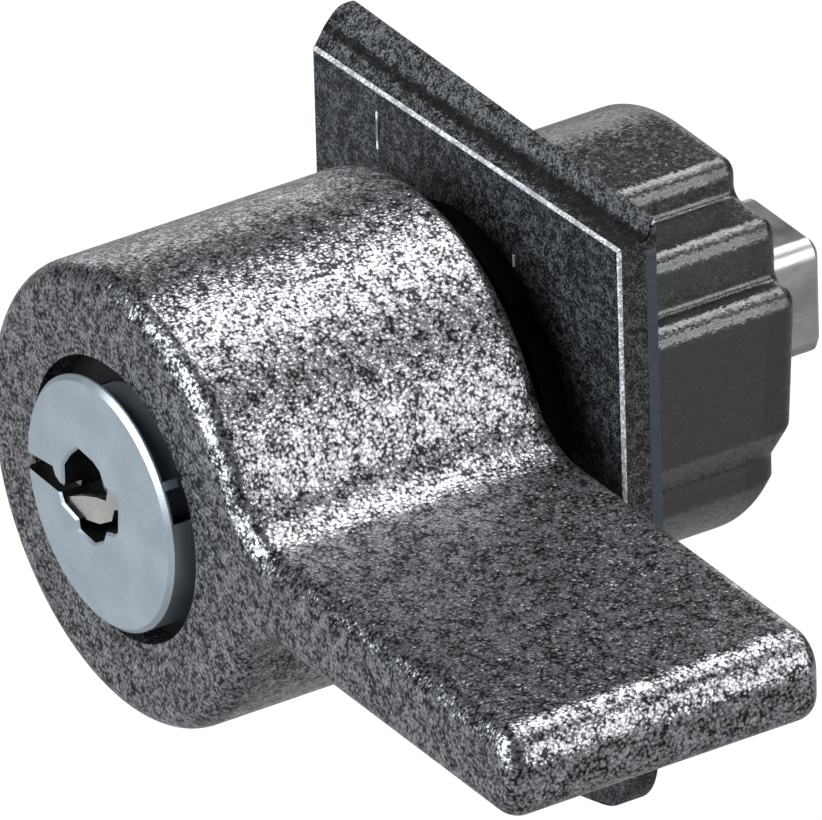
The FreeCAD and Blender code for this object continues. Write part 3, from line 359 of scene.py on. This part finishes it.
MATERIALS = {
    "knob_coating": sandy_coat(
        "knob_sandy_black", (0.011, 0.0115, 0.0125), (0.57, 0.58, 0.61), 0.25, 0.2, 0.03,
        gloss=(0.18, 0.32), ior=1.5, metallic=0.87, span=(0.4, 1.12)),
    "plate_coating": sandy_coat(
        "plate_fine_black", (0.003, 0.0035, 0.004), (0.13, 0.138, 0.148), 0.17, 0.4, 0.03,
        gloss=(0.3, 0.5), ior=1.5, level=0.2, span=(0.52, 1.15)),
    "housing_coating": sandy_coat(
        "housing_satin_black", (0.001, 0.0015, 0.0022), (0.004, 0.0055, 0.0075), 0.22, 0.2, 0.02,
        gloss=(0.2, 0.3), ior=1.75),
    "cover_coating": sandy_coat(
        "cover_satin_black", (0.001, 0.0015, 0.0022), (0.004, 0.0055, 0.0075), 0.22, 0.2, 0.02,
        gloss=(0.24, 0.34), ior=1.65),
    "gasket_rubber": satin_coat(
        "gasket_blue_grey", (0.017, 0.022, 0.034), (0.025, 0.032, 0.047), 0.5, 0.008, (0.55, 0.7)),
    # The nut's own black, made near black and dull as painted shade in the gap between knob and plate
    "nut_coating": satin_coat(
        "nut_black_and_gap_painted_shade", (0.001, 0.001, 0.0012), (0.003, 0.003, 0.0035), 0.2, 0.01, (0.8, 0.9),
        level=0.08),
    "bush_plastic": satin_coat(
        "bush_black_plastic", (0.02, 0.02, 0.022), (0.035, 0.035, 0.038), 0.3, 0.01, (0.4, 0.5)),
    "sleeve_plastic": satin_coat(
        "sleeve_black_plastic", (0.015, 0.015, 0.017), (0.03, 0.03, 0.033), 0.3, 0.01, (0.35, 0.45)),
    "seal_rubber": satin_coat(
        "seal_black_rubber", (0.01, 0.01, 0.01), (0.02, 0.02, 0.02), 0.3, 0.01, (0.5, 0.6)),
    "plug_nickel": metal(
        "plug_satin_nickel", (0.38, 0.44, 0.49), (0.45, 0.51, 0.56), (0.3, 0.4),
        lines_mm=0.15, depth_mm=0.008, metallic=0.8),
    "spindle_steel": metal(
        "spindle_drawn_steel", (0.28, 0.285, 0.29), (0.39, 0.395, 0.4), (0.28, 0.4),
        lines=(1.0, 0.12, 1.0), lines_mm=0.1),
    "shutter_steel": metal("shutter_bright_steel", (0.6, 0.58, 0.54), (0.8, 0.78, 0.74), (0.2, 0.3)),
    "screw_steel": metal("screw_zinc_plate", (0.5, 0.5, 0.47), (0.65, 0.65, 0.6), (0.25, 0.35)),
    "pin_steel": metal("pin_dark_steel", (0.22, 0.22, 0.23), (0.34, 0.34, 0.35), (0.3, 0.4)),
    "grub_steel": metal("grub_black_steel", (0.05, 0.05, 0.055), (0.09, 0.09, 0.095), (0.35, 0.45)),
    "spring_steel": metal("washer_spring_steel", (0.35, 0.35, 0.36), (0.45, 0.45, 0.46), (0.25, 0.35)),
    "clip_steel": metal("clip_phosphated_steel", (0.12, 0.12, 0.125), (0.2, 0.2, 0.205), (0.4, 0.5)),
    "wafer_spring_steel": metal(
        "wafer_spring_wire", (0.45, 0.45, 0.45), (0.55, 0.55, 0.55), (0.25, 0.35)),
    "plug_clip_steel": metal(
        "plug_clip_spring_steel", (0.25, 0.25, 0.26), (0.35, 0.35, 0.36), (0.3, 0.4)),
    "bolt_steel": metal("bolt_zinc_plate", (0.45, 0.45, 0.44), (0.55, 0.55, 0.54), (0.3, 0.4)),
    "stop_zinc": metal("stop_bare_zinc", (0.38, 0.39, 0.4), (0.5, 0.51, 0.52), (0.4, 0.5)),
    "cam_zinc": metal("cam_bare_zinc", (0.38, 0.39, 0.4), (0.5, 0.51, 0.52), (0.4, 0.5)),
    "cylinder_zinc": metal("cylinder_dark_zinc", (0.02, 0.02, 0.022), (0.05, 0.052, 0.056), (0.35, 0.5)),
    "insert_brass": metal("insert_turned_brass", (0.6, 0.43, 0.17), (0.75, 0.56, 0.26), (0.25, 0.35)),
    "wafer_brass": metal("wafer_stamped_brass", (0.6, 0.43, 0.17), (0.75, 0.56, 0.26), (0.28, 0.38)),
}

# The lip's coat: painted shade in the groove at its foot, painted light on the lip's face
LIP_PAINTED_LIGHT_AND_SHADE = lip_coat_painted_light_and_shade("plate_lip_painted_light_and_shade", (0.004, 0.0045, 0.005), (0.13, 0.135, 0.14), 0.17, (0.3, 0.42))
# Rubbed edges of the plate, painted near white as the highlight along them
RUBBED_EDGE_PAINTED_HIGHLIGHT = sandy_coat(
    "plate_rubbed_edge_painted_highlight", (0.22, 0.228, 0.24), (0.85, 0.86, 0.88), 0.18, 0.25, 0.01,
    gloss=(0.25, 0.35), ior=1.5)
# Index rib, with painted highlights at its two ends
RIB_PAINTED_HIGHLIGHT = rib_coat_painted_highlight("index_rib_painted_highlight", (0.12, 0.125, 0.13), (0.62, 0.63, 0.65))
# Painted shade inside the plug's keyhole, keyway and notch
HOLLOW_PAINTED_SHADE = metal("plug_hollow_painted_shade", (0.012, 0.012, 0.013), (0.045, 0.043, 0.04), (0.4, 0.55))
# Painted shade on the neck, in the gap between knob and plate
NECK_PAINTED_SHADE = MATERIALS["nut_coating"]


# Pieces

def paint_faces(mesh, material, wanted):
    """Give a second finish, painted light and shade among them, to the faces whose centre and normal
    pass a test, in millimetres.
    """
    mesh.materials.append(material)
    for face in mesh.polygons:
        if wanted(face.center / MM, face.normal):
            face.material_index = len(mesh.materials) - 1


def finish_plate_and_paint_light(mesh):
    """The lip has its own coat with painted light and shade, and the front's upper and wing-side edges
    are rubbed and painted with a highlight.
    """
    low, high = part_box("face_plate")
    front = low.y / MM + MARK_HEIGHT
    side = high.x / MM

    def edge_height(x):
        return PLATE_EDGE_FAR + (PLATE_EDGE_WING - PLATE_EDGE_FAR) * (x + side) / (2 * side)

    # Faces of the lip, which take its painted light and shade
    def lip(centre, normal):
        return centre.z > edge_height(centre.x) and centre.y > front + PLATE_EDGE_ROUND

    # Rounded edges facing up or to the wing side, rubbed and painted light as their highlight
    def rubbed_and_highlit(centre, normal):
        rounded = front < centre.y < front + PLATE_EDGE_ROUND and ROUNDED[0] < normal.y < ROUNDED[1]
        outer = centre.z > RUBBED_HIGHLIT_FROM and (normal.z > TURNED_OUT or normal.x > TURNED_OUT)
        at_end = centre.x > side - 2 * LIP_END_ROUND and centre.z > PLATE_EDGE_WING - LIP_END_REACH
        return (rounded and outer) or (at_end and CORNER_OUT[0] < normal.x < CORNER_OUT[1])

    def mark(centre, normal):
        return centre.y < front - MARK_HEIGHT / 4

    paint_faces(mesh, LIP_PAINTED_LIGHT_AND_SHADE, lip)
    paint_faces(mesh, RUBBED_EDGE_PAINTED_HIGHLIGHT, rubbed_and_highlit)
    paint_faces(mesh, RIB_PAINTED_HIGHLIGHT, mark)


def paint_plug_hollow_shade(mesh):
    """Keyhole, keyway and index notch carry painted shade inside, from just behind the face."""
    face_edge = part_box("key_plug")[0].y / MM + PLUG_FACE_EDGE

    def hollow(centre, normal):
        outward = centre.x * normal.x + centre.z * normal.z
        reach = math.hypot(centre.x, centre.z)
        return centre.y > face_edge and outward < INWARD * reach and abs(normal.y) < SIDEWAYS

    paint_faces(mesh, HOLLOW_PAINTED_SHADE, hollow)


def paint_neck_shade(mesh):
    """The neck in front of the plate has the nut's dull black, as painted shade in the gap behind the
    knob.
    """
    neck_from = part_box("face_plate")[0].y / MM

    def neck(centre, normal):
        return centre.y < neck_from

    paint_faces(mesh, NECK_PAINTED_SHADE, neck)


def round_lip_end(shape):
    """Take the sharp corner off the wing-side end of the lip and its ledge."""
    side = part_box("face_plate")[1].x
    corner = []
    for edge in shape.edges:
        if len(edge.link_faces) != 2 or edge.calc_face_angle() < SHARP_EDGE_RAD:
            continue
        at_end = all(abs(vert.co.x - side) < END_SLACK * MM for vert in edge.verts)
        on_top = all(vert.co.z > (PLATE_EDGE_WING - FACE_SLACK) * MM for vert in edge.verts)
        behind = all(vert.co.y > -FACE_SLACK * MM for vert in edge.verts)
        if at_end and on_top and not behind:
            corner.append(edge)
    bmesh.ops.bevel(shape, geom=corner, offset=LIP_END_ROUND * MM, segments=2, affect="EDGES")


# Second finishes per node, with painted light, shade and highlights among them
FINISH_AND_PAINTED_LIGHT = {
    "face_plate": finish_plate_and_paint_light,
    "key_plug": paint_plug_hollow_shade,
    "rear_housing": paint_neck_shade,
}


def dressed(node):
    """Smooth-shaded copy of a node's shape that stands for it and carries its finish."""
    source = NODES[node]
    mesh = bpy.data.meshes.new(node + "_skin")
    shape = bmesh.new()
    shape.from_mesh(source.data)
    bmesh.ops.remove_doubles(shape, verts=shape.verts, dist=SAME_POINT * MM)
    if node == "face_plate":
        round_lip_end(shape)
    limit = math.radians(SMOOTH_DEG)
    for face in shape.faces:
        face.smooth = True
    for edge in shape.edges:
        if len(edge.link_faces) == 2:
            edge.smooth = edge.calc_face_angle() < limit
    shape.to_mesh(mesh)
    shape.free()
    piece = bpy.data.objects.new(node + "_skin", mesh)
    bpy.context.scene.collection.objects.link(piece)
    mesh.materials.append(MATERIALS[SLOT_OF_NODE[node]])
    if node in FINISH_AND_PAINTED_LIGHT:
        FINISH_AND_PAINTED_LIGHT[node](mesh)
    even = piece.modifiers.new("even_shading", "WEIGHTED_NORMAL")
    even.mode = "FACE_AREA"
    even.weight = 50
    even.keep_sharp = True
    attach(piece, source["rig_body"])
    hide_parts(node)


def wire_tree():
    """Node tree that winds a wire upwards from every point of a mesh; its sizes are named inputs."""
    tree = bpy.data.node_groups.new("wound_wire", "GeometryNodeTree")
    inputs = (
        ("Starts", "NodeSocketGeometry"), ("Coil Radius", "NodeSocketFloat"),
        ("Wire Radius", "NodeSocketFloat"), ("Turns", "NodeSocketFloat"), ("Height", "NodeSocketFloat"),
        ("Sides", "NodeSocketInt"), ("Tilt", "NodeSocketVector"), ("Finish", "NodeSocketMaterial"),
    )
    sockets = {
        name: tree.interface.new_socket(name, in_out="INPUT", socket_type=kind).identifier
        for name, kind in inputs
    }
    tree.interface.new_socket("Wire", in_out="OUTPUT", socket_type="NodeSocketGeometry")
    given = tree.nodes.new("NodeGroupInput")
    result = tree.nodes.new("NodeGroupOutput")
    path = tree.nodes.new("GeometryNodeCurveSpiral")
    path.inputs["Resolution"].default_value = STEPS_PER_TURN
    section = tree.nodes.new("GeometryNodeCurvePrimitiveCircle")
    wire = tree.nodes.new("GeometryNodeCurveToMesh")
    wire.inputs["Fill Caps"].default_value = True
    placed = tree.nodes.new("GeometryNodeInstanceOnPoints")
    real = tree.nodes.new("GeometryNodeRealizeInstances")
    coated = tree.nodes.new("GeometryNodeSetMaterial")
    for source, target in (
        (given.outputs["Turns"], path.inputs["Rotations"]),
        (given.outputs["Coil Radius"], path.inputs["Start Radius"]),
        (given.outputs["Coil Radius"], path.inputs["End Radius"]),
        (given.outputs["Height"], path.inputs["Height"]),
        (given.outputs["Sides"], section.inputs["Resolution"]),
        (given.outputs["Wire Radius"], section.inputs["Radius"]),
        (path.outputs["Curve"], wire.inputs["Curve"]),
        (section.outputs["Curve"], wire.inputs["Profile Curve"]),
        (given.outputs["Starts"], placed.inputs["Points"]),
        (wire.outputs["Mesh"], placed.inputs["Instance"]),
        (given.outputs["Tilt"], placed.inputs["Rotation"]),
        (placed.outputs["Instances"], real.inputs["Geometry"]),
        (real.outputs["Geometry"], coated.inputs["Geometry"]),
        (given.outputs["Finish"], coated.inputs["Material"]),
        (coated.outputs["Geometry"], result.inputs["Wire"]),
    ):
        tree.links.new(source, target)
    return tree, sockets


WIRE_TREE, WIRE_SOCKETS = wire_tree()
ALONG_AXIS = (-math.pi / 2, 0.0, 0.0)
UPRIGHT = (0.0, 0.0, 0.0)


def wound(name, node, starts, tilt, coil_radius, wire_radius, turns, height, sides):
    """Coils of wire that ride with a node and share its finish; sizes in metres."""
    seeds = bpy.data.meshes.new(name + "_starts")
    seeds.from_pydata(starts, [], [])
    piece = bpy.data.objects.new(name, seeds)
    bpy.context.scene.collection.objects.link(piece)
    winder = piece.modifiers.new("wound_wire", "NODES")
    winder.node_group = WIRE_TREE
    for label, value in (
        ("Coil Radius", coil_radius), ("Wire Radius", wire_radius), ("Turns", float(turns)),
        ("Height", height), ("Sides", sides), ("Tilt", tilt), ("Finish", MATERIALS[SLOT_OF_NODE[node]]),
    ):
        winder[WIRE_SOCKETS[label]] = value
    seen = piece.evaluated_get(bpy.context.evaluated_depsgraph_get())
    mesh = bpy.data.meshes.new_from_object(seen)
    piece.modifiers.clear()
    shape = bmesh.new()
    shape.from_mesh(mesh)
    bmesh.ops.remove_doubles(shape, verts=shape.verts, dist=SAME_POINT * MM)
    bmesh.ops.recalc_face_normals(shape, faces=shape.faces)
    shape.to_mesh(mesh)
    shape.free()
    piece.data = mesh
    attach(piece, NODES[node]["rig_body"])
    return piece


def make_spindle_thread():
    """Thread turns in the spindle's tapped end."""
    height = SPINDLE_PITCH * SPINDLE_TURNS * MM
    start_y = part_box("square_spindle")[1].y - THREAD_INSET * MM - height
    wound(
        "spindle_thread_turns", "square_spindle", [(0.0, start_y, 0.0)], ALONG_AXIS,
        SPINDLE_BORE_R * MM, SPINDLE_PITCH * THREAD_WIRE_R * MM, SPINDLE_TURNS, height, THREAD_SIDES)


def make_insert_threads():
    """Thread turns in the two inserts, the upper and the lower."""
    low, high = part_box("fixing_inserts")
    radius = (high.x - low.x) / 2
    start_y = low.y + THREAD_INSET * MM
    starts = [(0.0, start_y, low.z + radius), (0.0, start_y, high.z - radius)]
    wound(
        "insert_thread_turns", "fixing_inserts", starts, ALONG_AXIS,
        INSERT_BORE_R * MM, INSERT_PITCH * THREAD_WIRE_R * MM, INSERT_TURNS,
        INSERT_PITCH * INSERT_TURNS * MM, THREAD_SIDES)


def make_wafer_springs():
    """Coils that stand for the plain springs of the solids."""
    low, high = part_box("wafer_springs")
    radius = (high.x - low.x) / 2
    step = (high.y - low.y - 2 * radius) / (SPRINGS - 1)
    wire = SPRING_WIRE_R * MM
    middle = (low.x + high.x) / 2
    starts = [(middle, low.y + radius + step * index, low.z + wire) for index in range(SPRINGS)]
    springs = wound(
        "wafer_spring_coils", "wafer_springs", starts, UPRIGHT,
        radius - wire, wire, SPRING_TURNS, high.z - low.z - 2 * wire, SPRING_SIDES)
    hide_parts("wafer_springs")


for node in sorted(NODES):
    if node != "wafer_springs":
        dressed(node)
make_spindle_thread()
make_insert_threads()
make_wafer_springs()


# Floor, light and camera

FLOOR_GAP = 2.0                   # millimetres under the wing when the knob turns it down
FLOOR_SIZE = 6.0
FLOOR_SEEN = (0.88, 0.88, 0.88)   # the floor as the camera sees it
FLOOR_AWAY = (0.25, 0.25, 0.25)   # and as it lights the object from below
FLOOR_GLOW_SEEN = 0.85            # share of even white in it, to the camera and in mirror images
FLOOR_GLOW_MIRRORED = 0.05
FLOOR_CLOUD_MM = 400.0
FILL_COLOUR = (0.86, 0.9, 1.0, 1.0)
FILL_STRENGTH = 0.06
WHITE = (1.0, 1.0, 1.0, 1.0)
PANEL_DISTANCE = 0.5
PANEL_LENGTH = 0.5
LOCK_AXIS = Vector((0, 1, 0))
NEUTRAL = (1.0, 1.0, 1.0)
COOL = (0.93, 0.965, 1.0)

# Soft panels round the object: azimuth, elevation, width in metres, watts and colour
PANELS = {
    "left_strip": (-152, 58, 0.14, 1.85, NEUTRAL),
    "crown_strip": (172, 62, 0.2, 1.1, NEUTRAL),
    "wing_strip_high": (124, 31, 0.15, 1.25, NEUTRAL),
    "wing_strip_low": (118, 6, 0.14, 1.25, NEUTRAL),
    "side_fill": (-118, 10, 0.14, 0.45, NEUTRAL),
    "front_panel": (-5, 24, 0.36, 5.2, COOL),
}


def make_floor(height):
    """Pale floor, near white to the camera and dimmer where it lights the object."""
    bpy.ops.mesh.primitive_plane_add(size=FLOOR_SIZE, location=(0, 0, height))
    floor = bpy.context.active_object
    floor.name = "floor"
    recipe = Recipe("floor_pale")
    rays = recipe.node("ShaderNodeLightPath")
    clouds = recipe.maths("MULTIPLY", recipe.noise(FLOOR_CLOUD_MM, detail=2.0), 0.1)
    paleness = recipe.maths("ADD", clouds, recipe.maths("MULTIPLY", rays.outputs["Is Camera Ray"], 0.9))
    tones = [(0.03, FLOOR_AWAY), (0.07, FLOOR_AWAY), (0.93, FLOOR_SEEN), (0.97, FLOOR_SEEN)]
    tone = recipe.ramp(paleness, tones)
    recipe.finish(tone, 0.7)
    recipe.set(Specular_IOR_Level=0.2)
    glow = recipe.node("ShaderNodeEmission")
    glow.inputs["Strength"].default_value = 1.0
    through = rays.outputs["Is Transmission Ray"]
    mirrored = recipe.maths("MAXIMUM", rays.outputs["Is Glossy Ray"], through)
    seen = recipe.maths("MULTIPLY", rays.outputs["Is Camera Ray"], FLOOR_GLOW_SEEN)
    share = recipe.maths("MAXIMUM", seen, recipe.maths("MULTIPLY", mirrored, FLOOR_GLOW_MIRRORED))
    blend = recipe.node("ShaderNodeMixShader")
    out = recipe.tree.nodes["Material Output"]
    recipe.link(share, blend.inputs[0])
    recipe.link(recipe.shader.outputs[0], blend.inputs[1])
    recipe.link(glow.outputs[0], blend.inputs[2])
    recipe.link(blend.outputs[0], out.inputs["Surface"])
    floor.data.materials.append(recipe.material)


def make_world():
    """White to the camera, and a faint cool fill to the object."""
    world = bpy.data.worlds.new("studio")
    bpy.context.scene.world = world
    world.use_nodes = True
    nodes, links = world.node_tree.nodes, world.node_tree.links
    fill = nodes["Background"]
    fill.inputs["Color"].default_value = FILL_COLOUR
    fill.inputs["Strength"].default_value = FILL_STRENGTH
    white = nodes.new("ShaderNodeBackground")
    white.inputs["Color"].default_value = WHITE
    white.inputs["Strength"].default_value = 1.0
    rays = nodes.new("ShaderNodeLightPath")
    blend = nodes.new("ShaderNodeMixShader")
    links.new(rays.outputs["Is Camera Ray"], blend.inputs[0])
    links.new(fill.outputs[0], blend.inputs[1])
    links.new(white.outputs[0], blend.inputs[2])
    links.new(blend.outputs[0], nodes["World Output"].inputs["Surface"])


def direction(azimuth, elevation):
    """Unit vector from the object; azimuth 0 is the front, 90 the wing side."""
    a = math.radians(azimuth)
    e = math.radians(elevation)
    return Vector((math.sin(a) * math.cos(e), -math.cos(a) * math.cos(e), math.sin(e)))


def panel_light(name, target, azimuth, elevation, width, watts, colour):
    """Soft panel that faces the object, its length along the lock axis as far as it can."""
    lamp = bpy.data.lights.new(name, "AREA")
    lamp.shape = "RECTANGLE"
    lamp.size = width
    lamp.size_y = PANEL_LENGTH
    lamp.energy = watts
    lamp.color = colour
    holder = bpy.data.objects.new(name, lamp)
    bpy.context.scene.collection.objects.link(holder)
    away = direction(azimuth, elevation)
    along = (LOCK_AXIS - away * away.dot(LOCK_AXIS)).normalized()
    across = along.cross(away)
    holder.matrix_world = Matrix.Translation(target + away * PANEL_DISTANCE) @ Matrix((
        (across.x, along.x, away.x, 0),
        (across.y, along.y, away.y, 0),
        (across.z, along.z, away.z, 0),
        (0, 0, 0, 1),
    ))


def make_camera(front_y):
    """Long lens, placed so that the knob's front rim falls where the photo has it."""
    camera = bpy.data.cameras.new("camera")
    camera.lens = CAMERA_LENS
    camera.sensor_width = CAMERA_SENSOR
    camera.clip_start, camera.clip_end = CAMERA_CLIP
    holder = bpy.data.objects.new("camera", camera)
    bpy.context.scene.collection.objects.link(holder)
    toward = direction(CAMERA_AZIMUTH, CAMERA_ELEVATION)
    roll = Quaternion((0, 0, 1), math.radians(CAMERA_ROLL))
    turn = toward.to_track_quat("Z", "Y") @ roll
    right = turn @ Vector((1, 0, 0))
    up = turn @ Vector((0, 1, 0))
    pixel = MM / PIXELS_PER_MM
    aim = Vector((0, front_y, 0))
    aim += right * (PHOTO_WIDTH / 2 - RIM_CENTRE_PIXEL[0]) * pixel
    aim += up * (RIM_CENTRE_PIXEL[1] - PHOTO_HEIGHT / 2) * pixel
    distance = PHOTO_WIDTH * pixel * CAMERA_LENS / CAMERA_SENSOR
    holder.location = aim + toward * distance
    holder.rotation_euler = turn.to_euler()
    bpy.context.scene.camera = holder


knob_low, knob_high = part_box("knob_handle")
make_floor(-knob_high.x - FLOOR_GAP * MM)
make_world()
for name, panel in PANELS.items():
    panel_light(name, (cad_box[0] + cad_box[1]) / 2, *panel)
make_camera(knob_low.y)

scene = bpy.context.scene
scene.view_settings.view_transform = "Standard"
